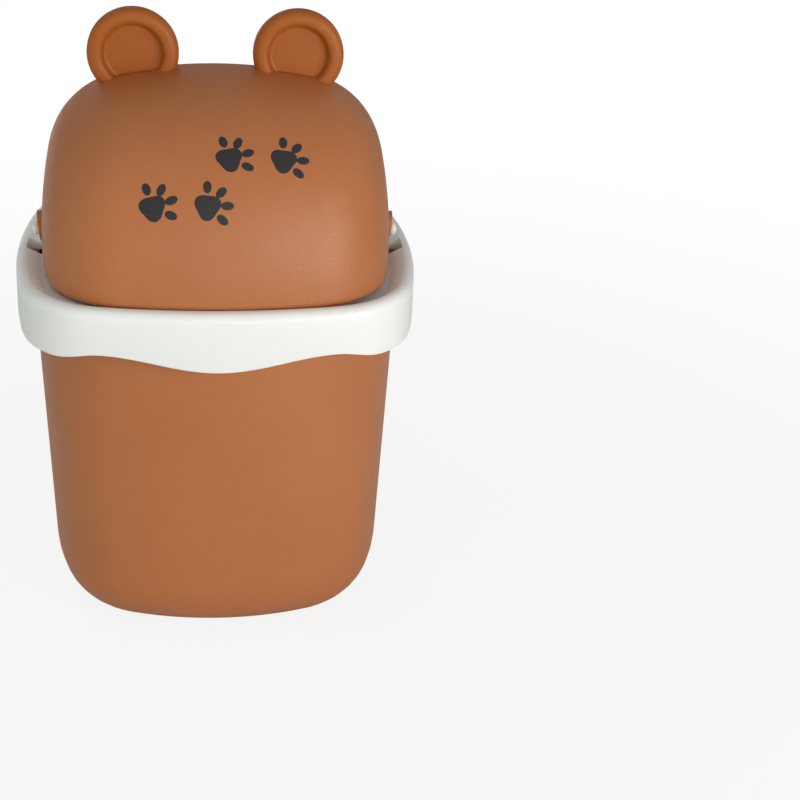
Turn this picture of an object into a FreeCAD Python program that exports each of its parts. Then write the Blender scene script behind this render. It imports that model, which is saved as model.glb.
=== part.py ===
import FreeCAD, Part
import math
import os

# A small swing-lid bin in moulded plastic, in millimetres, standing on z = 0 with its front
# towards -Y. A tapered bucket carries a lift-off collar. The collar has a raised mouth and,
# in one moulding with it, a fixed half dome over the rear half of the mouth. A second half
# dome, the lid, turns on two side pins and swings back over the fixed one.

# Mouth and fixed half dome (the hood), outer sizes
mouth_half_width = 60.9
mouth_half_depth = 59.5
dome_corner_radius = 30.0
dome_bow_radius = 172.0
mouth_wall = 1.9
mouth_round_share = 0.37
hood_front_wall = 1.4
hood_lean_deg = 4.0
hood_foot_radius = 2.6

# Collar
gutter_side_width = 12.1
gutter_front_width = 11.0
collar_corner_radius = 34.5
collar_bow_radius = 214.0
collar_wall = 2.0
collar_top_z = 136.4
shoulder_radius = 3.4
rim_land = 0.8
gutter_depth = 2.4
gutter_side_slope = 4.5
gutter_front_slope = 1.3
mouth_rise = 3.2
gutter_fillet = 1.2

# Lower edge of the collar's skirt: its drop below the collar's top at the sides, and how far
# its corners and the middle of its front hang lower, and its front crests higher, than that
skirt_drop = 17.0
skirt_corner_dip = 2.4
skirt_front_dip = 4.7
skirt_crest_lift = 0.5
skirt_crest_x_share = 0.56
skirt_corner_x_share = 0.80
skirt_corner_y_share = 0.76
skirt_level_share = 0.55
side_run_share = 0.97
wave_steps = 12

# Bucket
bucket_overhang = 5.3
bucket_taper = 6.3
bucket_corner_radius = 40.0
bucket_bow_radius = 112.0
bucket_wall = 2.0
bucket_floor = 2.4
base_edge_radius = 23.0
flange_thickness = 2.2
foot_width = 5.0
foot_height = 1.2
foot_corner_share = 0.45

# Lid
lid_wall = 1.8
lid_axis_forward = 2.5
lid_axis_drop = 1.1
lid_rear_y = 3.2
lid_dip = 1.6
pivot_rise = 5.8
lid_edge_radius = 2.8
lid_rear_round_share = 0.33

# Pivot pins, the lugs on the lid that they carry, and the slots that the lugs swing through
pin_radius = 2.0
pin_head_overlap = 0.4
pin_head_height = 1.8
pin_flange_overlap = 1.0
pin_flange_height = 1.2
lug_ring = 2.6
lug_rise = 2.2
lug_proud = 2.0
lug_slope = 1.2
slot_front_margin = 0.4
slot_rear_margin = 0.6
slot_outer_margin = 4.0

# Ears
ear_radius = 16.2
ear_thickness = 7.0
ear_x = 29.3
ear_y = -2.5
ear_above_crown = 4.7
ear_rim_width = 5.6
ear_recess_depth = 3.6
ear_back_round = 1.6
ear_front_round_share = 0.53
ear_inner_round_share = 0.60
ear_tab_half_width = 7.0
ear_tab_thickness = 3.0

# Clearances
swing_gap = 0.8
hinge_gap = 0.7
collar_fit = 0.4
seat_gap = 0.1
running_fit = 0.08
head_gap = 0.15
slot_gap = 0.5
tab_fit = 0.05
overrun = 5.0

# Places that follow from the sizes above
pivot_z = collar_top_z + pivot_rise
mouth_top_z = collar_top_z + mouth_rise
gutter_z = collar_top_z - gutter_depth
ledge_under_z = gutter_z - collar_wall
bucket_top_z = ledge_under_z - seat_gap
lid_edge_z = collar_top_z - lid_dip
skirt_low_z = collar_top_z - skirt_drop - skirt_front_dip - skirt_corner_dip - overrun
hood_front_y = -pin_radius - hood_front_wall
collar_half_width = mouth_half_width + gutter_side_width
collar_half_depth = mouth_half_depth + gutter_front_width
lid_axis_z = pivot_z - lid_axis_drop
lid_half_width = mouth_half_width + hinge_gap + lid_wall
lid_radius = mouth_half_depth + swing_gap + lid_axis_drop + lid_wall
lug_radius = pin_radius + lug_ring
lug_face_x = lid_half_width + lug_proud
ear_z = lid_axis_z + lid_radius + ear_above_crown
above_all_z = ear_z + ear_radius + overrun
outside_all = collar_half_width + overrun
full_turn_deg = 360


def vec(x, y, z):
    return FreeCAD.Vector(x, y, z)


def plan(half_width, half_depth, bow, corner, grow=0):
    """Sizes of an oval of eight tangent arcs, grown all round by one distance."""
    return {
        "half_width": half_width + grow,
        "half_depth": half_depth + grow,
        "bow": bow + grow,
        "corner": corner + grow,
    }


def mouth_plan(grow=0):
    return plan(mouth_half_width, mouth_half_depth, dome_bow_radius, dome_corner_radius, grow)


def collar_plan(grow=0):
    return plan(collar_half_width, collar_half_depth, collar_bow_radius, collar_corner_radius, grow)


def gutter_floor_plan(crest):
    """Floor of the gutter, inside its crest by a wide slope at the sides and a short one at the front."""
    half_width = crest["half_width"] - gutter_side_slope
    half_depth = crest["half_depth"] - gutter_front_slope
    return plan(half_width, half_depth, crest["bow"], crest["corner"])


def bucket_plan(grow=0):
    rim_half_width = collar_half_width - bucket_overhang
    rim_half_depth = collar_half_depth - bucket_overhang
    return plan(rim_half_width, rim_half_depth, bucket_bow_radius, bucket_corner_radius, grow)


def foot_hollow_plan():
    """Outline of the shallow hollow inside the ring that the bucket stands on."""
    base = bucket_plan(-bucket_taper)
    inset = base_edge_radius + foot_width
    half_width = base["half_width"] - inset
    half_depth = base["half_depth"] - inset
    bow = base["bow"] * half_width / base["half_width"]
    return plan(half_width, half_depth, bow, foot_corner_share * half_width)


def lid_profile(grow=0):
    spread = hinge_gap + lid_wall
    return plan(lid_half_width, lid_radius, dome_bow_radius + spread, dome_corner_radius + spread, grow)


def quarter_points(sizes):
    """Points on one quarter of an oval, from its side round the corner to its end."""
    bow = sizes["bow"]
    corner = sizes["corner"]
    side_centre_x = sizes["half_width"] - bow
    end_centre_y = sizes["half_depth"] - bow
    reach = bow - corner
    span = math.hypot(side_centre_x, end_centre_y)
    height = math.sqrt(reach**2 - (span / 2)**2)
    corner_x = side_centre_x / 2 - height * end_centre_y / span
    corner_y = end_centre_y / 2 - height * side_centre_x / span
    side_turn = math.atan2(corner_y, corner_x - side_centre_x)
    end_turn = math.atan2(corner_y - end_centre_y, corner_x)
    mid_turn = (side_turn + end_turn) / 2
    side_joint = (side_centre_x + bow * math.cos(side_turn), bow * math.sin(side_turn))
    corner_mid = (corner_x + corner * math.cos(mid_turn), corner_y + corner * math.sin(mid_turn))
    end_joint = (bow * math.cos(end_turn), end_centre_y + bow * math.sin(end_turn))
    side_half = (side_centre_x + bow * math.cos(side_turn / 2), bow * math.sin(side_turn / 2))
    return {
        "side_half": side_half,
        "side_joint": side_joint,
        "corner_mid": corner_mid,
        "end_joint": end_joint,
    }


def arc(start, middle, end):
    return Part.Arc(start, middle, end).toShape()


def line(start, end):
    return Part.LineSegment(start, end).toShape()


def oval_wire(sizes, z):
    """Closed level outline at height z."""
    points = quarter_points(sizes)
    side_x, side_y = points["side_joint"]
    mid_x, mid_y = points["corner_mid"]
    end_x, end_y = points["end_joint"]
    edges = [
        arc(vec(side_x, -side_y, z), vec(sizes["half_width"], 0, z), vec(side_x, side_y, z)),
        arc(vec(side_x, side_y, z), vec(mid_x, mid_y, z), vec(end_x, end_y, z)),
        arc(vec(end_x, end_y, z), vec(0, sizes["half_depth"], z), vec(-end_x, end_y, z)),
        arc(vec(-end_x, end_y, z), vec(-mid_x, mid_y, z), vec(-side_x, side_y, z)),
        arc(vec(-side_x, side_y, z), vec(-sizes["half_width"], 0, z), vec(-side_x, -side_y, z)),
        arc(vec(-side_x, -side_y, z), vec(-mid_x, -mid_y, z), vec(-end_x, -end_y, z)),
        arc(vec(-end_x, -end_y, z), vec(0, -sizes["half_depth"], z), vec(end_x, -end_y, z)),
        arc(vec(end_x, -end_y, z), vec(mid_x, -mid_y, z), vec(side_x, -side_y, z)),
    ]
    return Part.Wire(edges)


def oval_prism(sizes, low_z, high_z):
    return Part.Face(oval_wire(sizes, low_z)).extrude(vec(0, 0, high_z - low_z))


def oval_taper(low_sizes, low_z, high_sizes, high_z):
    return Part.makeLoft([oval_wire(low_sizes, low_z), oval_wire(high_sizes, high_z)], True, True)


def dome_solid(sizes, axis_y, axis_z):
    """Half an oval turned right round a level side-to-side axis."""
    points = quarter_points(sizes)

    def at(x, radius):
        return vec(x, axis_y, axis_z + radius)

    pole = sizes["half_width"]
    half_x, half_r = points["side_half"]
    side_x, side_r = points["side_joint"]
    mid_x, mid_r = points["corner_mid"]
    end_x, end_r = points["end_joint"]
    edges = [
        arc(at(pole, 0), at(half_x, half_r), at(side_x, side_r)),
        arc(at(side_x, side_r), at(mid_x, mid_r), at(end_x, end_r)),
        arc(at(end_x, end_r), at(0, sizes["half_depth"]), at(-end_x, end_r)),
        arc(at(-end_x, end_r), at(-mid_x, mid_r), at(-side_x, side_r)),
        arc(at(-side_x, side_r), at(-half_x, half_r), at(-pole, 0)),
        line(at(-pole, 0), at(pole, 0)),
    ]
    return Part.Face(Part.Wire(edges)).revolve(at(0, 0), vec(1, 0, 0), full_turn_deg)


def block(low, high):
    return Part.makeBox(high[0] - low[0], high[1] - low[1], high[2] - low[2], vec(*low))


def side_prism(edges, half_length):
    """Closed outline drawn in the plane x = 0, carried both ways along X."""
    face = Part.Face(Part.Wire(edges))
    face.translate(vec(-half_length, 0, 0))
    return face.extrude(vec(2 * half_length, 0, 0))


def across(shape):
    """The same shape on the other side of the bin."""
    return shape.mirror(vec(0, 0, 0), vec(1, 0, 0))


def close_enough():
    tolerance_share = 1e-6
    return tolerance_share * collar_top_z


def edges_at_height(shape, z):
    found = []
    for edge in shape.Edges:
        box = edge.BoundBox
        if abs(box.ZMin - z) < close_enough() and abs(box.ZMax - z) < close_enough():
            found.append(edge)
    return found


def make_bucket():
    base_grow = -bucket_taper
    outer = oval_taper(bucket_plan(base_grow), 0, bucket_plan(), bucket_top_z)
    outer = outer.makeFillet(base_edge_radius, edges_at_height(outer, 0))
    inner_base_grow = base_grow * (1 - bucket_floor / bucket_top_z) - bucket_wall
    inner = oval_taper(bucket_plan(inner_base_grow), bucket_floor, bucket_plan(-bucket_wall), bucket_top_z)
    inner = inner.makeFillet(base_edge_radius - bucket_wall, edges_at_height(inner, bucket_floor))
    flange_width = bucket_overhang - collar_wall - collar_fit
    flange = oval_prism(bucket_plan(flange_width), bucket_top_z - flange_thickness, bucket_top_z)
    hollow = oval_prism(foot_hollow_plan(), -overrun, foot_height)
    return outer.fuse(flange).cut(inner).cut(hollow).removeSplitter()


def ease(share):
    """Smooth rise from 0 to 1 while the share goes from 0 to 1."""
    return (1 - math.cos(math.pi * share)) / 2


def wave_prism(stations, level_run, carry):
    """Everything below a smooth wavy line with level ends, carried along one direction."""
    first = stations[0]
    last = stations[-1]
    along = (last - first).normalize()
    curve = Part.BSplineCurve()
    curve.interpolate(Points=stations, InitialTangent=along, FinalTangent=along, Scale=False)
    start = first - along * level_run
    end = last + along * level_run
    low_start = vec(start.x, start.y, skirt_low_z)
    low_end = vec(end.x, end.y, skirt_low_z)
    edges = [
        line(start, first),
        curve.toShape(),
        line(last, end),
        line(end, low_end),
        line(low_end, low_start),
        line(low_start, start),
    ]
    return Part.Face(Part.Wire(edges)).extrude(carry)


def front_wave_height(x, corner_x):
    """Three scallops: one at each corner and a deeper one at the middle of the front."""
    crest_x = skirt_crest_x_share * collar_half_width
    if abs(x) < crest_x:
        dip = skirt_front_dip - (skirt_front_dip + skirt_crest_lift) * ease(abs(x) / crest_x)
    else:
        share = (abs(x) - crest_x) / (corner_x - crest_x)
        dip = (skirt_corner_dip + skirt_crest_lift) * ease(share) - skirt_crest_lift
    return collar_top_z - skirt_drop - dip


def even_wave_height(distance, corner):
    """Level along the middle, sinking towards each corner."""
    level = skirt_level_share * corner
    share = max((abs(distance) - level) / (corner - level), 0)
    return collar_top_z - skirt_drop - skirt_corner_dip * ease(share)


def skirt_cutters():
    corner_x = skirt_corner_x_share * collar_half_width
    corner_y = skirt_corner_y_share * collar_half_depth
    far_y = collar_half_depth + overrun
    front = []
    rear = []
    side = []
    for step in range(-wave_steps, wave_steps + 1):
        x = corner_x * step / wave_steps
        y = side_run_share * corner_y * step / wave_steps
        front.append(vec(x, -far_y, front_wave_height(x, corner_x)))
        rear.append(vec(x, far_y, even_wave_height(x, corner_x)))
        side.append(vec(-outside_all, y, even_wave_height(y, side_run_share * corner_y)))
    end_run = outside_all - corner_x
    side_run = corner_y - side_run_share * corner_y
    return [
        wave_prism(front, end_run, vec(0, far_y - corner_y, 0)),
        wave_prism(rear, end_run, vec(0, corner_y - far_y, 0)),
        wave_prism(side, side_run, vec(2 * outside_all, 0, 0)),
    ]


def mouth_side_outline():
    """Side view of the raised mouth and the hood: low at the front, a small round, then the dome."""
    rear_y = collar_half_depth
    foot_y = hood_front_y - hood_foot_radius
    round_top_z = mouth_top_z + hood_foot_radius
    round_share = 1 - math.sqrt(0.5)
    lean = math.tan(math.radians(hood_lean_deg)) * (above_all_z - round_top_z)
    front_low = vec(0, -rear_y, ledge_under_z)
    front_high = vec(0, -rear_y, mouth_top_z)
    round_start = vec(0, foot_y, mouth_top_z)
    round_middle = vec(0, hood_front_y - round_share * hood_foot_radius,
                       mouth_top_z + round_share * hood_foot_radius)
    round_end = vec(0, hood_front_y, round_top_z)
    hood_top = vec(0, hood_front_y + lean, above_all_z)
    rear_top = vec(0, rear_y, above_all_z)
    rear_low = vec(0, rear_y, ledge_under_z)
    return [
        line(front_low, front_high),
        line(front_high, round_start),
        arc(round_start, round_middle, round_end),
        line(round_end, hood_top),
        line(hood_top, rear_top),
        line(rear_top, rear_low),
        line(rear_low, front_low),
    ]


def mouth_edges(wall):
    """The two long edges that run round the mouth's front and up over the hood's arch."""
    outline = Part.Wire(mouth_side_outline()[1:4])
    cross_share = 1.5
    found = []
    for edge in wall.Edges:
        middle = edge.valueAt((edge.FirstParameter + edge.LastParameter) / 2)
        off_line = outline.distToShape(Part.Vertex(vec(0, middle.y, middle.z)))[0]
        if off_line < close_enough() and edge.Length > cross_share * mouth_wall:
            found.append(edge)
    return found


def make_mouth_and_hood():
    upright = oval_prism(mouth_plan(), ledge_under_z, pivot_z)
    hollow = oval_prism(mouth_plan(-mouth_wall), ledge_under_z - overrun, pivot_z)
    upper = block((-outside_all, -outside_all, pivot_z), (outside_all, outside_all, above_all_z))
    dome = dome_solid(mouth_plan(), 0, pivot_z).common(upper)
    dome_hollow = dome_solid(mouth_plan(-mouth_wall), 0, pivot_z).common(upper)
    wall = upright.cut(hollow).fuse(dome.cut(dome_hollow))
    wall = wall.common(side_prism(mouth_side_outline(), outside_all)).removeSplitter()
    return wall.makeFillet(mouth_round_share * mouth_wall, mouth_edges(wall))


def make_collar():
    shell = oval_prism(collar_plan(), skirt_low_z, collar_top_z)
    shell = shell.makeFillet(shoulder_radius, edges_at_height(shell, collar_top_z))
    crest = collar_plan(-shoulder_radius - rim_land)
    gutter = oval_taper(gutter_floor_plan(crest), gutter_z, crest, collar_top_z)
    root = oval_prism(mouth_plan(), ledge_under_z, (mouth_top_z + gutter_z) / 2)
    collar = shell.cut(gutter).fuse(root).removeSplitter()
    collar = collar.makeFillet(gutter_fillet, edges_at_height(collar, gutter_z))
    under = oval_prism(collar_plan(-collar_wall), skirt_low_z - overrun, ledge_under_z)
    through = oval_prism(mouth_plan(-mouth_wall), ledge_under_z - overrun, above_all_z)
    collar = collar.cut(under).cut(through)
    for cutter in skirt_cutters():
        collar = collar.cut(cutter)
    collar = collar.fuse(make_mouth_and_hood())
    slot_inner_x = mouth_half_width + slot_gap
    slot_outer_x = lug_face_x + slot_outer_margin
    slot = block((slot_inner_x, -lug_radius - slot_front_margin, ledge_under_z - overrun),
                 (slot_outer_x, lug_radius + slot_rear_margin, collar_top_z))
    bore = Part.makeCylinder(pin_radius, outside_all, vec(0, 0, pivot_z), vec(1, 0, 0))
    collar = collar.cut(slot).cut(across(slot)).cut(bore).cut(across(bore))
    return collar.removeSplitter()


def lug_solid():
    """Rounded pad round the pin hole, with its outer face sloping in towards its lower end."""
    upper_z = pivot_z + lug_rise
    top_z = upper_z + lug_radius
    low_z = pivot_z - lug_radius
    inner_x = lid_half_width - lid_wall
    start = vec(inner_x, -lug_radius, upper_z)
    end = vec(inner_x, lug_radius, upper_z)
    low_end = vec(inner_x, lug_radius, pivot_z)
    low_start = vec(inner_x, -lug_radius, pivot_z)
    edges = [
        arc(start, vec(inner_x, 0, top_z), end),
        line(end, low_end),
        arc(low_end, vec(inner_x, 0, low_z), low_start),
        line(low_start, start),
    ]
    pad = Part.Face(Part.Wire(edges)).extrude(vec(lug_face_x - inner_x, 0, 0))
    slope_points = [
        vec(lug_face_x, -outside_all, top_z),
        vec(lug_face_x + overrun, -outside_all, top_z),
        vec(lug_face_x + overrun, -outside_all, low_z),
        vec(lug_face_x - lug_slope, -outside_all, low_z),
        vec(lug_face_x, -outside_all, top_z),
    ]
    wedge = Part.Face(Part.makePolygon(slope_points)).extrude(vec(0, 2 * outside_all, 0))
    return pad.cut(wedge)


def lid_outer_dome():
    return dome_solid(lid_profile(), -lid_axis_forward, lid_axis_z)


def lid_inner_dome():
    return dome_solid(lid_profile(-lid_wall), -lid_axis_forward, lid_axis_z)


def ear_tab(grow=0):
    """Block that fills the ear's slot through the lid wall."""
    half_width = ear_tab_half_width + grow
    half_thickness = ear_tab_thickness / 2 + grow
    return block((ear_x - half_width, ear_y - half_thickness, pivot_z),
                 (ear_x + half_width, ear_y + half_thickness, ear_z))


def make_lid():
    region = block((-outside_all, -outside_all, lid_edge_z), (outside_all, lid_rear_y, above_all_z))
    body = lid_outer_dome().common(region)
    low_edges = [edge for edge in edges_at_height(body, lid_edge_z) if edge.BoundBox.YMin < 0]
    body = body.makeFillet(lid_edge_radius, low_edges)
    rear_edges = [edge for edge in body.Edges if edge.BoundBox.YMin > lid_rear_y - close_enough()
                  and edge.BoundBox.ZMax > pivot_z]
    body = body.makeFillet(lid_rear_round_share * lid_wall, rear_edges)
    shell = body.cut(lid_inner_dome())
    lug = lug_solid()
    lid = shell.fuse(lug).fuse(across(lug))
    bore = Part.makeCylinder(pin_radius + running_fit, outside_all, vec(0, 0, pivot_z), vec(1, 0, 0))
    lid = lid.cut(bore).cut(across(bore))
    slot = ear_tab(tab_fit)
    return lid.cut(slot).cut(across(slot)).removeSplitter()


def make_ear():
    """Thick round ear with a rolled rim and a dished front, cut to sit on the lid."""
    front = ear_y - ear_thickness / 2
    back = ear_y + ear_thickness / 2
    floor = front + ear_recess_depth
    front_round = ear_front_round_share * ear_rim_width
    inner_round = ear_inner_round_share * ear_recess_depth
    floor_round = ear_recess_depth - inner_round
    recess_radius = ear_radius - ear_rim_width
    diagonal_share = math.sqrt(0.5)

    def at(radius, y):
        return vec(ear_x + radius, y, ear_z)

    inner_edge = recess_radius + inner_round
    outer_edge = ear_radius - front_round
    back_edge = ear_radius - ear_back_round
    edges = [
        line(at(0, back), at(back_edge, back)),
        arc(at(back_edge, back),
            at(back_edge + diagonal_share * ear_back_round, back - (1 - diagonal_share) * ear_back_round),
            at(ear_radius, back - ear_back_round)),
        line(at(ear_radius, back - ear_back_round), at(ear_radius, front + front_round)),
        arc(at(ear_radius, front + front_round),
            at(outer_edge + diagonal_share * front_round, front + (1 - diagonal_share) * front_round),
            at(outer_edge, front)),
        line(at(outer_edge, front), at(inner_edge, front)),
        arc(at(inner_edge, front),
            at(inner_edge - diagonal_share * inner_round, front + (1 - diagonal_share) * inner_round),
            at(recess_radius, front + inner_round)),
        arc(at(recess_radius, front + inner_round),
            at(recess_radius - (1 - diagonal_share) * floor_round, floor - (1 - diagonal_share) * floor_round),
            at(recess_radius - floor_round, floor)),
        line(at(recess_radius - floor_round, floor), at(0, floor)),
        line(at(0, floor), at(0, back)),
    ]
    disc = Part.Face(Part.Wire(edges)).revolve(at(0, 0), vec(0, 1, 0), full_turn_deg)
    tab = ear_tab().common(lid_outer_dome()).cut(lid_inner_dome())
    return disc.cut(lid_outer_dome()).fuse(tab).removeSplitter()


def make_pin():
    """Domed pivot pin: a flange inside the hood wall, a shaft through the lug and a round head."""
    flange_end = mouth_half_width - mouth_wall - seat_gap
    flange_start = flange_end - pin_flange_height
    flange_radius = pin_radius + pin_flange_overlap
    head_radius = pin_radius + pin_head_overlap
    head_start = lug_face_x + head_gap
    head_end = head_start + pin_head_height
    rise = pin_head_height / 2

    def at(x, radius):
        return vec(x, 0, pivot_z + radius)

    dome_radius = (head_radius**2 + rise**2) / (2 * rise)
    dome_centre = head_end - dome_radius
    half_turn = math.asin(head_radius / dome_radius) / 2
    dome_middle = at(dome_centre + dome_radius * math.cos(half_turn), dome_radius * math.sin(half_turn))
    edges = [
        line(at(flange_start, 0), at(flange_start, flange_radius)),
        line(at(flange_start, flange_radius), at(flange_end, flange_radius)),
        line(at(flange_end, flange_radius), at(flange_end, pin_radius)),
        line(at(flange_end, pin_radius), at(head_start, pin_radius)),
        line(at(head_start, pin_radius), at(head_start, head_radius)),
        line(at(head_start, head_radius), at(head_end - rise, head_radius)),
        arc(at(head_end - rise, head_radius), dome_middle, at(head_end, 0)),
        line(at(head_end, 0), at(flange_start, 0)),
    ]
    return Part.Face(Part.Wire(edges)).revolve(at(0, 0), vec(1, 0, 0), full_turn_deg)


ear = make_ear()
pin = make_pin()
pieces = {
    "bucket": make_bucket(),
    "collar": make_collar(),
    "lid": make_lid(),
    "ear_right": ear,
    "ear_left": across(ear),
    "pivot_pin_right": pin,
    "pivot_pin_left": across(pin),
}
os.makedirs("parts", exist_ok=True)
for name, shape in pieces.items():
    box = shape.BoundBox
    print(name, "valid" if shape.isValid() else "INVALID", len(shape.Solids), "solid",
          "volume %.1f" % shape.Volume, "z %.2f to %.2f" % (box.ZMin, box.ZMax))
    shape.exportStep("parts/" + name + ".step")
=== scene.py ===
# %% [markdown]
# # A small swing-lid bin
# The bin is five kinds of plastic moulding: a tapered bucket, a collar that drops over its rim,
# a half-dome lid with two round ears, and two pivot pins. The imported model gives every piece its
# true place and size, so this lesson starts by loading it and never moves what it loads.

# %% Load the frame
import math
import bmesh
import bpy
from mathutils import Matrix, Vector


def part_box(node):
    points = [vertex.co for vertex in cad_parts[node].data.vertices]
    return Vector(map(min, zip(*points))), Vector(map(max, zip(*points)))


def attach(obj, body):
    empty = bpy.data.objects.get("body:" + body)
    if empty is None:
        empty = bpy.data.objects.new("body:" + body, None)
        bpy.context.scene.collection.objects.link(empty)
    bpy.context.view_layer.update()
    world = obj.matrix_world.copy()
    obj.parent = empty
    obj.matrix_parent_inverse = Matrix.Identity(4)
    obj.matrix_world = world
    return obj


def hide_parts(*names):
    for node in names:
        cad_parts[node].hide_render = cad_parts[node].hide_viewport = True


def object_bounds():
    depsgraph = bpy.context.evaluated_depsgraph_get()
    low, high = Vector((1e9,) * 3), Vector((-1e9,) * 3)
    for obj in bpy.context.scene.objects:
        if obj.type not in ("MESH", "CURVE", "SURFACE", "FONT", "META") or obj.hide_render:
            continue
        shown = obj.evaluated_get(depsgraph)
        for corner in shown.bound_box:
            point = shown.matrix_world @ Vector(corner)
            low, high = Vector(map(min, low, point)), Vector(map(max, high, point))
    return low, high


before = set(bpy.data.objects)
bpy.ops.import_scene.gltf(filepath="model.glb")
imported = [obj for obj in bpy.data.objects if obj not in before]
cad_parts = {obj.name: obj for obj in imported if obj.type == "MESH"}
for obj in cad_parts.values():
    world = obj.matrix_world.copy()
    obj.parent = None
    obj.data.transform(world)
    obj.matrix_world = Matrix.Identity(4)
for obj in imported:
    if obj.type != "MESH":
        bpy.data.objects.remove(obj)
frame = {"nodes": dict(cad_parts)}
cad_low, cad_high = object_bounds()
nodes = frame["nodes"]
print("pieces loaded:", ", ".join(nodes))
print("whole bin, mm:", [round(1000 * side, 1) for side in cad_high - cad_low])

# %% [markdown]
# ## The camera
# The bin was seen from the front and a little above, at desk distance. A camera that orbits a point
# on the bin is set by three numbers: azimuth, elevation and distance. The bin stood left of and above
# the middle of the frame. A lens shift would also move it, but a shift stays on in every other view,
# so the camera is turned instead until that point falls on its pixel.

# %% Camera
frame_pixels = 800
sensor_width_mm = 36.0
focal_pixels = 1900.0
view_azimuth = math.radians(-0.85)
view_elevation = math.radians(22.4)
view_distance = 0.724
view_target = Vector((0.0, 0.0, 0.110))
target_pixel = (216.5, 308.5)

away = Vector((
    math.sin(view_azimuth) * math.cos(view_elevation),
    -math.cos(view_azimuth) * math.cos(view_elevation),
    math.sin(view_elevation),
))
camera_data = bpy.data.cameras.new("desk_camera")
camera_data.sensor_width = sensor_width_mm
camera_data.lens = focal_pixels / frame_pixels * sensor_width_mm
camera = bpy.data.objects.new("desk_camera", camera_data)
bpy.context.scene.collection.objects.link(camera)
camera.location = view_target + away * view_distance
half_frame = frame_pixels / 2
pixel_ray = Vector((target_pixel[0] - half_frame, half_frame - target_pixel[1], -focal_pixels)).normalized()
straight_ahead = Vector((0.0, 0.0, -1.0))
look_at_target = (-away).to_track_quat("-Z", "Y")
turn_to_pixel = pixel_ray.rotation_difference(straight_ahead)
camera.rotation_mode = "QUATERNION"
camera.rotation_quaternion = look_at_target @ turn_to_pixel
bpy.context.scene.camera = camera
print("lens, mm:", round(camera_data.lens, 1))

# %% [markdown]
# ## Floor, world and lamps
# A product shot like this has a white sweep and big soft lamps. The floor here is a large plain
# sheet. Close to the bin it is pale card that takes a faint shadow; further out it fades to the same white
# as the world, so no horizon shows from a low camera. A curved backdrop would do it in one view only.

# %% Floor
floor_half_size = 12.0
floor_card = 0.80
floor_own_white = 0.86
fade_start = 0.14
fade_end = 0.60


def link(tree, source, target):
    tree.links.new(source, target)


def shader_tree(material):
    material.use_nodes = True
    material.node_tree.nodes.clear()
    return material.node_tree


def seen_by_camera(tree):
    """1 for the camera's own rays, 0 for all light on its way between surfaces."""
    return tree.nodes.new("ShaderNodeLightPath").outputs["Is Camera Ray"]


def mixed(tree, factor, first, second):
    mix = tree.nodes.new("ShaderNodeMixShader")
    for place, source in enumerate((factor, first, second)):
        link(tree, source, mix.inputs[place])
    return mix.outputs[0]


def make_floor():
    mesh = bpy.data.meshes.new("floor")
    s = floor_half_size
    mesh.from_pydata([(-s, -s, 0), (s, -s, 0), (s, s, 0), (-s, s, 0)], [], [(0, 1, 2, 3)])
    floor = bpy.data.objects.new("floor", mesh)
    bpy.context.scene.collection.objects.link(floor)
    material = bpy.data.materials.new("pale_card")
    tree = shader_tree(material)
    card = tree.nodes.new("ShaderNodeBsdfDiffuse")
    card.inputs["Color"].default_value = (floor_card, floor_card, floor_card, 1)
    white = tree.nodes.new("ShaderNodeEmission")
    own_white = tree.nodes.new("ShaderNodeMath")
    own_white.operation = "MULTIPLY"
    own_white.inputs[1].default_value = floor_own_white
    link(tree, seen_by_camera(tree), own_white.inputs[0])
    near = mixed(tree, own_white.outputs[0], card.outputs[0], white.outputs[0])
    place = tree.nodes.new("ShaderNodeTexCoord")
    distance = tree.nodes.new("ShaderNodeVectorMath")
    distance.operation = "LENGTH"
    link(tree, place.outputs["Object"], distance.inputs[0])
    fade = tree.nodes.new("ShaderNodeMapRange")
    fade.interpolation_type = "SMOOTHSTEP"
    fade.inputs["From Min"].default_value = fade_start
    fade.inputs["From Max"].default_value = fade_end
    link(tree, distance.outputs["Value"], fade.inputs["Value"])
    far_white = tree.nodes.new("ShaderNodeMath")
    far_white.operation = "MULTIPLY"
    link(tree, fade.outputs[0], far_white.inputs[0])
    link(tree, seen_by_camera(tree), far_white.inputs[1])
    out = tree.nodes.new("ShaderNodeOutputMaterial")
    link(tree, mixed(tree, far_white.outputs[0], near, white.outputs[0]), out.inputs["Surface"])
    mesh.materials.append(material)


make_floor()
print("floor fades to white from", fade_start, "to", fade_end, "m")

# %% [markdown]
# The world is white to the camera and only a dim fill to everything else, so the lamps do the modelling and
# the plastic keeps its colour. In reflections the world is brighter in front than behind, as in a room where
# the lamps stand by the camera: an even white would lay a pale veil over the top of the lid.

# %% World
fill_strength = 0.22
shine_in_front = 0.85
shine_behind = 0.30


def background(tree, strength):
    light = tree.nodes.new("ShaderNodeBackground")
    light.inputs["Color"].default_value = (1, 1, 1, 1)
    light.inputs["Strength"].default_value = strength
    return light


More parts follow.
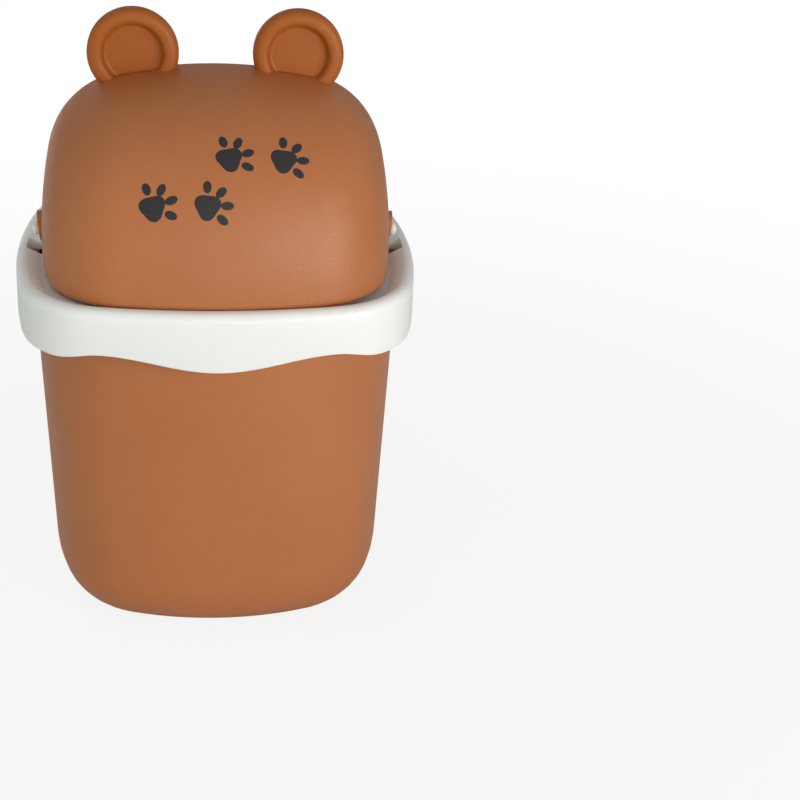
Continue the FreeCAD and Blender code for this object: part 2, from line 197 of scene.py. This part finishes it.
def make_world():
    world = bpy.data.worlds.new("white_room")
    bpy.context.scene.world = world
    world.use_nodes = True
    tree = world.node_tree
    tree.nodes.clear()
    fill = background(tree, fill_strength)
    white = background(tree, 1.0)
    in_plastic = background(tree, shine_in_front)
    out = tree.nodes.new("ShaderNodeOutputWorld")
    direction = tree.nodes.new("ShaderNodeSeparateXYZ")
    link(tree, tree.nodes.new("ShaderNodeTexCoord").outputs["Generated"], direction.inputs[0])
    front_to_back = tree.nodes.new("ShaderNodeMapRange")
    front_to_back.inputs["From Min"].default_value = -1.0
    front_to_back.inputs["From Max"].default_value = 1.0
    front_to_back.inputs["To Min"].default_value = shine_in_front
    front_to_back.inputs["To Max"].default_value = shine_behind
    link(tree, direction.outputs["Y"], front_to_back.inputs["Value"])
    link(tree, front_to_back.outputs[0], in_plastic.inputs["Strength"])
    reflected = tree.nodes.new("ShaderNodeLightPath").outputs["Is Glossy Ray"]
    around = mixed(tree, reflected, fill.outputs[0], in_plastic.outputs[0])
    link(tree, mixed(tree, seen_by_camera(tree), around, white.outputs[0]), out.inputs["Surface"])


make_world()
bpy.context.scene.view_settings.view_transform = "Standard"
print("fill of", fill_strength, "and reflections from", shine_behind, "to", shine_in_front)

# %% [markdown]
# The broad soft highlight sits low on the right of the lid and the left flank falls off, so the key lamp
# is a large panel to the right of the camera at about the bin's own height. A weaker panel on the left
# keeps the shaded side open, a front one evens out the bucket, a faint one overhead reaches into the gutter
# round the lid, and one behind serves the views of the back. Only the key may shine in the plastic: the
# others are switched off for reflections, as a very large soft source would hardly show in them.
# Each lamp is aimed by turning its -Z axis to the bin's middle.

# %% Lamps
bin_middle = (cad_low + cad_high) / 2
neutral = (1.0, 1.0, 1.0)
cool = (0.86, 1.0, 0.97)
coolish = (0.97, 1.0, 0.985)
warm = (1.0, 0.95, 0.89)
lamps = {
    "key_panel": dict(azimuth=38, elevation=10, distance=1.0, size=0.6, power=5.8, tint=neutral),
    "left_panel": dict(azimuth=-84, elevation=5, distance=1.2, size=0.5, power=3.0, tint=cool),
    "front_panel": dict(azimuth=-5, elevation=8, distance=1.3, size=0.7, power=3.9, tint=coolish),
    "top_panel": dict(azimuth=-40, elevation=58, distance=1.2, size=0.8, power=1.5, tint=neutral),
    "rear_panel": dict(azimuth=195, elevation=8, distance=1.3, size=0.7, power=6.5, tint=warm),
}
shining_lamp = "key_panel"


def make_lamp(name, azimuth, elevation, distance, size, power, tint):
    data = bpy.data.lights.new(name, "AREA")
    data.shape = "SQUARE"
    data.size = size
    data.energy = power
    data.color = tint
    lamp = bpy.data.objects.new(name, data)
    bpy.context.scene.collection.objects.link(lamp)
    turn = math.radians(azimuth)
    lift = math.radians(elevation)
    away = Vector((math.sin(turn) * math.cos(lift), -math.cos(turn) * math.cos(lift), math.sin(lift)))
    lamp.location = bin_middle + away * distance
    lamp.rotation_mode = "QUATERNION"
    lamp.rotation_quaternion = (-away).to_track_quat("-Z", "Y")
    lamp.visible_camera = False
    lamp.visible_glossy = name == shining_lamp


for name, values in lamps.items():
    make_lamp(name, **values)
print("lamps:", ", ".join(lamps))

# %% [markdown]
# ## The plastics
# The brown mouldings come from a tool with a fine spark-eroded surface: matt, with a grain of about half
# a millimetre that only shows where the light rakes across it. The grain is noise on Object coordinates,
# because a mould's texture has one real size all over, and it drives both bump and roughness. A much
# larger, much weaker noise shifts the tone, as the melt's flow does in a real moulding. The pale plastic
# also lets a little light into its thin walls, which softens its shading. The ears get a darker, more
# saturated
# and less shiny copy of the brown: the darker colour is painted shade for the shade in their dished recesses,
# and it darkens their rims too.

# %% Plastic materials
brown = (0.44, 0.148, 0.044)
brown_flow = (0.415, 0.136, 0.038)
# Painted shade: the ears' darker, more saturated brown stands in for the shade in their recesses.
ear_painted_shade_brown = (0.37, 0.098, 0.013)
ear_painted_shade_flow = (0.35, 0.090, 0.011)
cream = (0.86, 0.87, 0.83)
cream_flow = (0.845, 0.85, 0.805)
pin_white = (0.86, 0.85, 0.81)
pin_flow = (0.84, 0.82, 0.78)
ink = (0.008, 0.007, 0.009)
ink_thin = (0.013, 0.011, 0.012)
grain_size = 0.00048
peel_size = 0.0035
flow_size = 0.045
glow_depth = 0.006
glow_reach = (1.0, 0.95, 0.85)
cream_glow = 0.3
ear_shine = 0.3
usual_shine = 0.5
noise_low = 0.3
noise_high = 0.7
peel_strength = 0.2


def noise(tree, place, feature_size, detail):
    texture = tree.nodes.new("ShaderNodeTexNoise")
    texture.inputs["Scale"].default_value = 1 / feature_size
    texture.inputs["Detail"].default_value = detail
    link(tree, place, texture.inputs["Vector"])
    return texture.outputs["Fac"]


def ranged(tree, value, low, high):
    spread = tree.nodes.new("ShaderNodeMapRange")
    spread.inputs["From Min"].default_value = noise_low
    spread.inputs["From Max"].default_value = noise_high
    spread.inputs["To Min"].default_value = low
    spread.inputs["To Max"].default_value = high
    link(tree, value, spread.inputs["Value"])
    return spread.outputs["Result"]


def bumped(tree, height, depth, strength, under=None):
    bump = tree.nodes.new("ShaderNodeBump")
    bump.inputs["Distance"].default_value = depth
    bump.inputs["Strength"].default_value = strength
    link(tree, height, bump.inputs["Height"])
    if under is not None:
        link(tree, under, bump.inputs["Normal"])
    return bump.outputs["Normal"]


def make_plastic(name, colour, flow_colour, roughness, grain_depth, glow=0.0, shine=usual_shine):
    material = bpy.data.materials.new(name)
    tree = shader_tree(material)
    shader = tree.nodes.new("ShaderNodeBsdfPrincipled")
    out = tree.nodes.new("ShaderNodeOutputMaterial")
    place = tree.nodes.new("ShaderNodeTexCoord").outputs["Object"]
    tone = tree.nodes.new("ShaderNodeMix")
    tone.data_type = "RGBA"
    # A Mix node has a socket A and B for each data type: 6 and 7, and output 2, are those for colours.
    tone.inputs[6].default_value = (*colour, 1)
    tone.inputs[7].default_value = (*flow_colour, 1)
    link(tree, ranged(tree, noise(tree, place, flow_size, 2.0), 0.0, 1.0), tone.inputs[0])
    link(tree, tone.outputs[2], shader.inputs["Base Color"])
    shader.inputs["Specular IOR Level"].default_value = shine
    shader.inputs["Subsurface Weight"].default_value = glow
    shader.inputs["Subsurface Scale"].default_value = glow_depth
    shader.inputs["Subsurface Radius"].default_value = glow_reach
    fine = noise(tree, place, grain_size, 2.0)
    link(tree, ranged(tree, fine, *roughness), shader.inputs["Roughness"])
    peel = bumped(tree, noise(tree, place, peel_size, 1.0), grain_depth, peel_strength)
    link(tree, bumped(tree, fine, grain_depth, 1.0, peel), shader.inputs["Normal"])
    link(tree, shader.outputs[0], out.inputs["Surface"])
    return material


brown_plastic = make_plastic(
    "brown_matt_plastic", brown, brown_flow, roughness=(0.28, 0.50), grain_depth=0.00017)
# The ears' material is a darker copy of the brown, painted shade for their recesses.
ear_painted_shade_plastic = make_plastic(
    "ear_matt_painted_shade_plastic", ear_painted_shade_brown, ear_painted_shade_flow, roughness=(0.38, 0.52), grain_depth=0.00008, shine=ear_shine)
cream_plastic = make_plastic(
    "cream_satin_plastic", cream, cream_flow, roughness=(0.34, 0.42), grain_depth=0.000015, glow=cream_glow)
pin_plastic = make_plastic(
    "white_pin_plastic", pin_white, pin_flow, roughness=(0.28, 0.36), grain_depth=0.00001)
dark_ink = make_plastic(
    "dark_pad_ink", ink, ink_thin, roughness=(0.48, 0.58), grain_depth=0.00006)
print("plastics:", brown_plastic.name, ear_painted_shade_plastic.name, cream_plastic.name, pin_plastic.name, dark_ink.name)

# %% [markdown]
# ## Helpers for node trees
# Geometry Nodes are graphs, and a graph of sums is hard to read in Python. So a number inside a tree is
# wrapped in a small class: adding or multiplying two of them adds the Math node, and a formula reads as it
# would on paper. Each tree takes its sizes from named inputs, so they can also be tried by hand in the
# modifier's panel.

# %% Node tree helpers


class Wire:
    """A number in a node tree. Sums written with it become Math nodes."""

    def __init__(self, tree, socket):
        self.tree = tree
        self.socket = socket

    def step(self, operation, *others):
        feeds = enumerate([self, *others])
        return Wire(self.tree, add(self.tree, "ShaderNodeMath", feeds, operation=operation).outputs[0])

    def __add__(self, other):
        return self.step("ADD", other)

    def __sub__(self, other):
        return self.step("SUBTRACT", other)

    def __mul__(self, other):
        return self.step("MULTIPLY", other)

    def __truediv__(self, other):
        return self.step("DIVIDE", other)

    def __neg__(self):
        return self * -1.0


def feed(tree, socket, value):
    """Link a wire or another node's output to a socket, or set a plain value on it."""
    if isinstance(value, Wire):
        value = value.socket
    if isinstance(value, bpy.types.NodeSocket):
        tree.links.new(value, socket)
    else:
        socket.default_value = value


def add(tree, kind, feeds, **settings):
    node = tree.nodes.new(kind)
    for key, value in settings.items():
        setattr(node, key, value)
    for socket, value in feeds:
        feed(tree, node.inputs[socket], value)
    return node


def new_tree(name, sizes):
    """A geometry node tree, and a wire from its named input for each size."""
    tree = bpy.data.node_groups.new(name, "GeometryNodeTree")
    for label in sizes:
        tree.interface.new_socket(label, in_out="INPUT", socket_type="NodeSocketFloat")
    tree.interface.new_socket("Geometry", in_out="OUTPUT", socket_type="NodeSocketGeometry")
    inputs = tree.nodes.new("NodeGroupInput").outputs
    return tree, {label: Wire(tree, inputs[label]) for label in sizes}


def point_number(tree):
    return Wire(tree, add(tree, "GeometryNodeInputIndex", []).outputs[0])


def vector(tree, x, y, z):
    return add(tree, "ShaderNodeCombineXYZ", [("X", x), ("Y", y), ("Z", z)]).outputs[0]


def moved(tree, geometry, place):
    return add(tree, "GeometryNodeSetPosition", [("Geometry", geometry), ("Position", place)]).outputs[0]


# %% [markdown]
# A node tree lives in a modifier, and the finished bin is plain meshes. So each tree ends by making its
# instances real and giving them a material, it is run once with its sizes, and only the result is kept. A
# swept or pressed mesh may still have doubled points or an open ring, so one more helper closes it, points
# its faces outwards and marks which edges are true corners.

# %% From a tree to a mesh
same_point = 1e-6


def end_tree(tree, geometry, material):
    real = add(tree, "GeometryNodeRealizeInstances", [("Geometry", geometry)]).outputs[0]
    dressed = add(tree, "GeometryNodeSetMaterial", [("Geometry", real), ("Material", material)]).outputs[0]
    tree.links.new(dressed, tree.nodes.new("NodeGroupOutput").inputs[0])


def grow_mesh(name, tree, sizes):
    """Run a tree once with the given sizes and keep the result as a plain mesh object."""
    seed = bpy.data.objects.new(name + "_seed", bpy.data.meshes.new(name + "_seed"))
    bpy.context.scene.collection.objects.link(seed)
    modifier = seed.modifiers.new(tree.name, "NODES")
    modifier.node_group = tree
    for item in tree.interface.items_tree:
        if item.in_out == "INPUT":
            modifier[item.identifier] = sizes[item.name]
    grown = seed.evaluated_get(bpy.context.evaluated_depsgraph_get())
    mesh = bpy.data.meshes.new_from_object(grown)
    seed.modifiers.clear()
    bpy.data.objects.remove(seed)
    piece = bpy.data.objects.new(name, mesh)
    bpy.context.scene.collection.objects.link(piece)
    return piece


def tidy_shell(piece, sharp_degrees):
    """Merge doubles, close open rings, point the faces outwards and keep only real corners sharp."""
    shell = bmesh.new()
    shell.from_mesh(piece.data)
    bmesh.ops.remove_doubles(shell, verts=shell.verts, dist=same_point)
    rings = [edge for edge in shell.edges if edge.is_boundary]
    bmesh.ops.holes_fill(shell, edges=rings, sides=0)
    bmesh.ops.recalc_face_normals(shell, faces=shell.faces)
    open_edges = sum(not edge.is_manifold for edge in shell.edges)
    shell.to_mesh(piece.data)
    shell.free()
    piece.data.shade_smooth()
    piece.data.set_sharp_from_angle(angle=math.radians(sharp_degrees))
    print(piece.name, len(piece.data.polygons), "faces,", open_edges, "open edges")


# %% [markdown]
# ## The bucket
# The tub is one thin wall that follows two rules. From above it is an oval of tangent arcs: four slow
# bows and four tighter corners, so a point on it is an arc's centre plus the arc's radius along the
# direction it faces. From the side it is one section: foot ring, round base, sloping wall, rolled rim,
# and back down inside. Lofting by hand would work, but a sweep of the section round the oval says
# exactly that, and every size stays a number that can be changed.

# %% The oval rule
oval_points = 192


def pick(tree, flag, otherwise, value):
    feeds = [("Switch", flag), ("False", otherwise), ("True", value)]
    return Wire(tree, add(tree, "GeometryNodeSwitch", feeds, input_type="FLOAT").outputs[0])


def oval_curve(tree, size):
    """Closed curve of side bows, end bows and the corners that touch both."""
    bow, corner = size["Bow Radius"], size["Corner Radius"]
    side_centre = size["Half Width"] - bow
    end_centre = size["Half Depth"] - bow
    span = (side_centre * side_centre + end_centre * end_centre).step("SQRT")
    reach = bow - corner
    height = (reach * reach - span * span / 4.0).step("SQRT")
    corner_x = side_centre / 2.0 - height * end_centre / span
    corner_y = end_centre / 2.0 - height * side_centre / span
    side_turn = corner_y.step("ARCTAN2", corner_x - side_centre)
    end_turn = (corner_y - end_centre).step("ARCTAN2", corner_x)

    turn = point_number(tree) * (2 * math.pi / oval_points)
    facing_x, facing_y = turn.step("COSINE"), turn.step("SINE")
    folded = facing_y.step("ABSOLUTE").step("ARCTAN2", facing_x.step("ABSOLUTE"))
    on_side = folded.step("LESS_THAN", side_turn)
    on_end = folded.step("GREATER_THAN", end_turn)
    centre_x = pick(tree, on_side, pick(tree, on_end, corner_x, 0.0), side_centre)
    centre_y = pick(tree, on_end, pick(tree, on_side, corner_y, 0.0), end_centre)
    radius = pick(tree, on_side.step("MAXIMUM", on_end), corner, bow)
    x = facing_x * radius + facing_x.step("SIGN") * centre_x
    y = facing_y * radius + facing_y.step("SIGN") * centre_y
    ring = add(tree, "GeometryNodeCurvePrimitiveCircle", [("Resolution", oval_points)]).outputs[0]
    return moved(tree, ring, vector(tree, x, y, 0.0))


print("oval of", oval_points, "points, written as one rule")

# %% [markdown]
# The section is a short list of corners, each with its own round, in two directions: how far out from the
# rim's oval, and how high. Two extra points beside the big base rounds keep the long wall's shading flat,
# because a smooth normal is blended along a whole face.

# %% The bucket's section
mm = 0.001
shading_support = 3 * mm
round_steps = 10


def bucket_section(size):
    """Each corner is its distance out from the rim's oval, its height and the radius of its round."""
    height, wall, taper = size["Height"], size["Wall"], size["Taper"]
    floor, flange, rim_round = size["Floor"], size["Flange Width"], size["Rim Round"]
    base_round = size["Base Round"]
    above_base = base_round + shading_support
    under_flange = height - size["Flange Thickness"]
    below_flange = under_flange - shading_support
    inner_round = base_round - wall

    def out(level):
        return level * taper / height - taper

    foot = -taper - base_round - size["Foot Width"]
    return [
        (foot, size["Foot Height"], 0.0),
        (foot, 0.0, rim_round / 2.0),
        (-taper, 0.0, base_round),
        (out(above_base), above_base, 0.0),
        (out(below_flange), below_flange, 0.0),
        (out(under_flange), under_flange, rim_round),
        (flange, under_flange, rim_round),
        (flange, height, rim_round),
        (-wall, height, rim_round),
        (out(under_flange) - wall, under_flange, 0.0),
        (out(above_base) - wall, above_base, 0.0),
        (out(floor) - wall, floor, inner_round),
        (out(floor) - wall - inner_round - shading_support, floor, 0.0),
    ]


def section_curve(tree, section):
    """Open curve through the section's corners, with their rounds."""
    index = point_number(tree)
    corners = add(tree, "GeometryNodeIndexSwitch", [("Index", index)], data_type="VECTOR")
    rounds = add(tree, "GeometryNodeIndexSwitch", [("Index", index)], data_type="FLOAT")
    for spare in range(len(section) - len(corners.index_switch_items)):
        corners.index_switch_items.new()
        rounds.index_switch_items.new()
    for number, (out, height, radius) in enumerate(section):
        feed(tree, corners.inputs[number + 1], vector(tree, out, -height, 0.0))
        feed(tree, rounds.inputs[number + 1], radius)
    chain = add(tree, "GeometryNodeMeshLine", [("Count", len(section))]).outputs[0]
    curve = add(tree, "GeometryNodeMeshToCurve", [("Mesh", chain)]).outputs[0]
    placed = moved(tree, curve, corners.outputs[0])
    feeds = [("Curve", placed), ("Count", round_steps), ("Radius", rounds.outputs[0])]
    return add(tree, "GeometryNodeFilletCurve", feeds, mode="POLY").outputs[0]


print("each round of the section has", round_steps, "steps")

# %% [markdown]
# With both rules in place, the bucket is one sweep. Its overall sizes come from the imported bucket, which it
# stands for, and the wall, rounds and flange are those of a thin injection moulding.

# %% Bucket
bucket_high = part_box("bucket")[1]
flange_width = 2.9 * mm
bucket_sizes = {
    "Half Width": bucket_high.x - flange_width,
    "Half Depth": bucket_high.y - flange_width,
    "Bow Radius": 112 * mm,
    "Corner Radius": 40 * mm,
    "Height": bucket_high.z,
    "Wall": 2.0 * mm,
    "Floor": 2.4 * mm,
    "Taper": 6.3 * mm,
    "Base Round": 23 * mm,
    "Foot Width": 5 * mm,
    "Foot Height": 1.2 * mm,
    "Flange Width": flange_width,
    "Flange Thickness": 2.2 * mm,
    "Rim Round": 0.7 * mm,
}


def make_bucket():
    tree, size = new_tree("swept_tub", bucket_sizes)
    rim = oval_curve(tree, size)
    upright = add(tree, "GeometryNodeSetCurveNormal", [("Curve", rim)], mode="Z_UP").outputs[0]
    section = section_curve(tree, bucket_section(size))
    swept = add(tree, "GeometryNodeCurveToMesh", [("Curve", upright), ("Profile Curve", section)]).outputs[0]
    end_tree(tree, swept, brown_plastic)
    bucket = grow_mesh("bucket_tub", tree, bucket_sizes)
    tidy_shell(bucket, sharp_degrees=35)
    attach(bucket, "bucket")
    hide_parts("bucket")
    return bucket


bucket_tub = make_bucket()
print("bucket corners, mm:", [[round(1000 * c, 2) for c in corner] for corner in bucket_tub.bound_box][::6])

# %% [markdown]
# ## The collar's skirt
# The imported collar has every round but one: its wavy lower edge is square. A moulded edge never is, and
# the thin light line along it is what shows the wall's thickness. So the collar is a merged copy of the
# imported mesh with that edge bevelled. The edge is found by what it is: low down, with an upright face on
# one side and a face that looks at the floor on the other.

# %% Collar with a rounded skirt
skirt_round = 0.5 * mm
skirt_round_steps = 3
skirt_height = 12 * mm
skirt_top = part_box("collar")[0].z + skirt_height
merge_distance = 0.002 * mm
looks_down = -0.85
upright_within = 0.2


def on_skirt_edge(edge):
    if len(edge.link_faces) != 2 or max(vert.co.z for vert in edge.verts) > skirt_top:
        return False
    lower, upper = sorted(face.normal.z for face in edge.link_faces)
    return lower < looks_down and abs(upper) < upright_within


def make_collar():
    shell = bmesh.new()
    shell.from_mesh(nodes["collar"].data)
    bmesh.ops.remove_doubles(shell, verts=shell.verts, dist=merge_distance)
    shell.normal_update()
    skirt = [edge for edge in shell.edges if on_skirt_edge(edge)]
    length = sum(edge.calc_length() for edge in skirt)
    bmesh.ops.bevel(
        shell, geom=skirt, offset=skirt_round, segments=skirt_round_steps, profile=0.5,
        affect="EDGES", clamp_overlap=False)
    mesh = bpy.data.meshes.new("collar_shell")
    shell.to_mesh(mesh)
    shell.free()
    for layer in list(mesh.attributes):
        if layer.name in ("custom_normal", "sharp_edge", "sharp_face"):
            mesh.attributes.remove(layer)
    mesh.materials.append(cream_plastic)
    collar = bpy.data.objects.new("collar_shell", mesh)
    bpy.context.scene.collection.objects.link(collar)
    tidy_shell(collar, sharp_degrees=30)
    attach(collar, "collar")
    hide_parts("collar")
    print("rounded", round(1000 * length), "mm of edge, inside and out")


make_collar()

# %% [markdown]
# ## Dressing the pieces whose shape is already right
# The ears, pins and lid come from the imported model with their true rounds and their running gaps. Making
# them again here could only lose that fit, so they stay, and only their finish changes.

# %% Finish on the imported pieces
finishes = {
    "lid": brown_plastic,
    "ear_left": ear_painted_shade_plastic,
    "ear_right": ear_painted_shade_plastic,
    "pivot_pin_left": pin_plastic,
    "pivot_pin_right": pin_plastic,
}
for name, material in finishes.items():
    nodes[name].material_slots[0].material = material
print("dressed:", ", ".join(finishes))

# %% [markdown]
# ## The printed trail
# The lid carries one dark print, a short trail of plain paw prints. Such a print is made with a soft pad
# that picks up flat artwork and presses it on to the curved part, and the nodes go the same way. First comes
# one flat paw: discs are bent into a lobed pad and stretched into four toes on an arc. A drawn outline would
# do as well, but discs have an even net of points, which the curved lid needs later.

# %% One flat paw
trail_sizes = {
    "Pad Radius": 4.3 * mm,
    "Toe Half Width": 1.45 * mm,
    "Toe Half Length": 2.2 * mm,
    "Toe Reach": 6.7 * mm,
    "First Toe": math.radians(24),
    "Last Toe": math.radians(156),
    "Stride": 15.5 * mm,
    "Half Gauge": 5.0 * mm,
    "Heading": math.radians(33),
    "Splay": math.radians(9),
    "Ink Thickness": 0.05 * mm,
}
disc_edge_points = 48
pad_lobes = 3.0
lobe_depth = 0.13
toe_count = 4
quarter_turn = math.pi / 2


def flat_position(tree):
    """Each point's place, and wires of how far it lies to the right and up on the flat."""
    place = add(tree, "GeometryNodeInputPosition", []).outputs[0]
    parts = add(tree, "ShaderNodeSeparateXYZ", [("Vector", place)]).outputs
    return place, Wire(tree, parts["X"]), Wire(tree, parts["Y"])


def scaled(tree, place, factor):
    feeds = [("Vector", place), ("Scale", factor)]
    return add(tree, "ShaderNodeVectorMath", feeds, operation="SCALE").outputs[0]


def joined(tree, *parts):
    join = add(tree, "GeometryNodeJoinGeometry", [])
    for part in parts:
        tree.links.new(part, join.inputs[0])
    return join.outputs[0]


def real_copies(tree, spots, shape, turn, scale=(1.0, 1.0, 1.0)):
    copies = add(tree, "GeometryNodeInstanceOnPoints", [
        ("Points", spots),
        ("Instance", shape),
        ("Rotation", vector(tree, 0.0, 0.0, turn)),
        ("Scale", scale),
    ]).outputs[0]
    return add(tree, "GeometryNodeRealizeInstances", [("Geometry", copies)]).outputs[0]


def make_paw(tree, size):
    feeds = [("Vertices", disc_edge_points), ("Radius", 1.0)]
    fan = add(tree, "GeometryNodeMeshCircle", feeds, fill_type="TRIANGLE_FAN").outputs[0]
    disc = add(tree, "GeometryNodeSubdivideMesh", [("Mesh", fan), ("Level", 2)]).outputs[0]
    place, x, y = flat_position(tree)
    wave = (y.step("ARCTAN2", x) * pad_lobes).step("SINE")
    pad = moved(tree, disc, scaled(tree, place, (wave * -lobe_depth + 1.0) * size["Pad Radius"]))
    toe_step = (size["Last Toe"] - size["First Toe"]) / (toe_count - 1.0)
    toe_turn = point_number(tree) * toe_step + size["First Toe"]
    toe_x = toe_turn.step("COSINE") * size["Toe Reach"]
    toe_y = toe_turn.step("SINE") * size["Toe Reach"]
    row = add(tree, "GeometryNodeMeshLine", [("Count", toe_count)]).outputs[0]
    spots = moved(tree, row, vector(tree, toe_x, toe_y, 0.0))
    stretch = vector(tree, size["Toe Half Width"], size["Toe Half Length"], 1.0)
    return joined(tree, pad, real_copies(tree, spots, disc, toe_turn - quarter_turn, stretch))


print("paw of one pad and", toe_count, "toes")

# %% [markdown]
# An animal's trail sets left and right feet down in turn, either side of one line, each toed a little
# outwards. That is a rule for a row of points, so the paws are copies on a line of points: the number of
# the point says how far along and on which side it lies.

# %% The trail on its flat plate
paw_count = 4


def make_trail(tree, size, paw):
    index = point_number(tree)
    along = (index - (paw_count - 1) / 2) * size["Stride"]
    side = index.step("MODULO", 2.0) * 2.0 - 1.0
    across = side * size["Half Gauge"]
    cos, sin = size["Heading"].step("COSINE"), size["Heading"].step("SINE")
    place = vector(tree, along * cos + across * sin, along * sin - across * cos, 0.0)
    row = add(tree, "GeometryNodeMeshLine", [("Count", paw_count)]).outputs[0]
    turn = size["Heading"] - quarter_turn - side * size["Splay"]
    return real_copies(tree, moved(tree, row, place), paw, turn)


print("trail of", paw_count, "paws,", round(1000 * (paw_count - 1) * trail_sizes["Stride"], 1), "mm long")

# %% [markdown]
# Now the plate is tilted to face the lid, and a ray from every point carries it straight on to the plastic.
# A texture could fake the print, but a thin solid layer of ink keeps its crisp edge in every view. The layer
# is the pressed sheet, pushed out by the ink's thickness, with the sheet itself as its underside.

# %% Press the trail on the lid
plate_tilt = math.radians(36)
plate_distance = 30 * mm
lid_centre = Vector((0.0, -2.5 * mm, 141.1 * mm))
lid_radius = 63.2 * mm
plate_normal = Vector((0.0, -math.cos(plate_tilt), math.sin(plate_tilt)))
plate_up = Vector((0.0, math.sin(plate_tilt), math.cos(plate_tilt)))
plate_middle = lid_centre + plate_normal * (lid_radius + plate_distance)


def vector_sum(tree, first, second):
    return add(tree, "ShaderNodeVectorMath", [(0, first), (1, second)], operation="ADD").outputs[0]


def press_on(tree, flat, target):
    """Carry the flat artwork along the plate's normal on to the target's surface."""
    place, x, y = flat_position(tree)
    from_middle = vector_sum(tree, vector(tree, x, 0.0, 0.0), scaled(tree, tuple(plate_up), y))
    surface = add(tree, "GeometryNodeObjectInfo", [("Object", target)], transform_space="ORIGINAL")
    ray = add(tree, "GeometryNodeRaycast", [
        ("Target Geometry", surface.outputs["Geometry"]),
        ("Source Position", vector_sum(tree, from_middle, tuple(plate_middle))),
        ("Ray Direction", tuple(-plate_normal)),
        ("Ray Length", 2 * plate_distance),
    ])
    return moved(tree, flat, ray.outputs["Hit Position"])


def make_print():
    tree, size = new_tree("pressed_paw_trail", trail_sizes)
    pressed = press_on(tree, make_trail(tree, size, make_paw(tree, size)), nodes["lid"])
    feeds = [("Mesh", pressed), ("Offset Scale", size["Ink Thickness"]), ("Individual", False)]
    layer = add(tree, "GeometryNodeExtrudeMesh", feeds).outputs[0]
    underside = add(tree, "GeometryNodeFlipFaces", [("Mesh", pressed)]).outputs[0]
    end_tree(tree, joined(tree, layer, underside), dark_ink)
    trail = grow_mesh("paw_trail_print", tree, trail_sizes)
    tidy_shell(trail, sharp_degrees=50)
    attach(trail, "lid")


make_print()
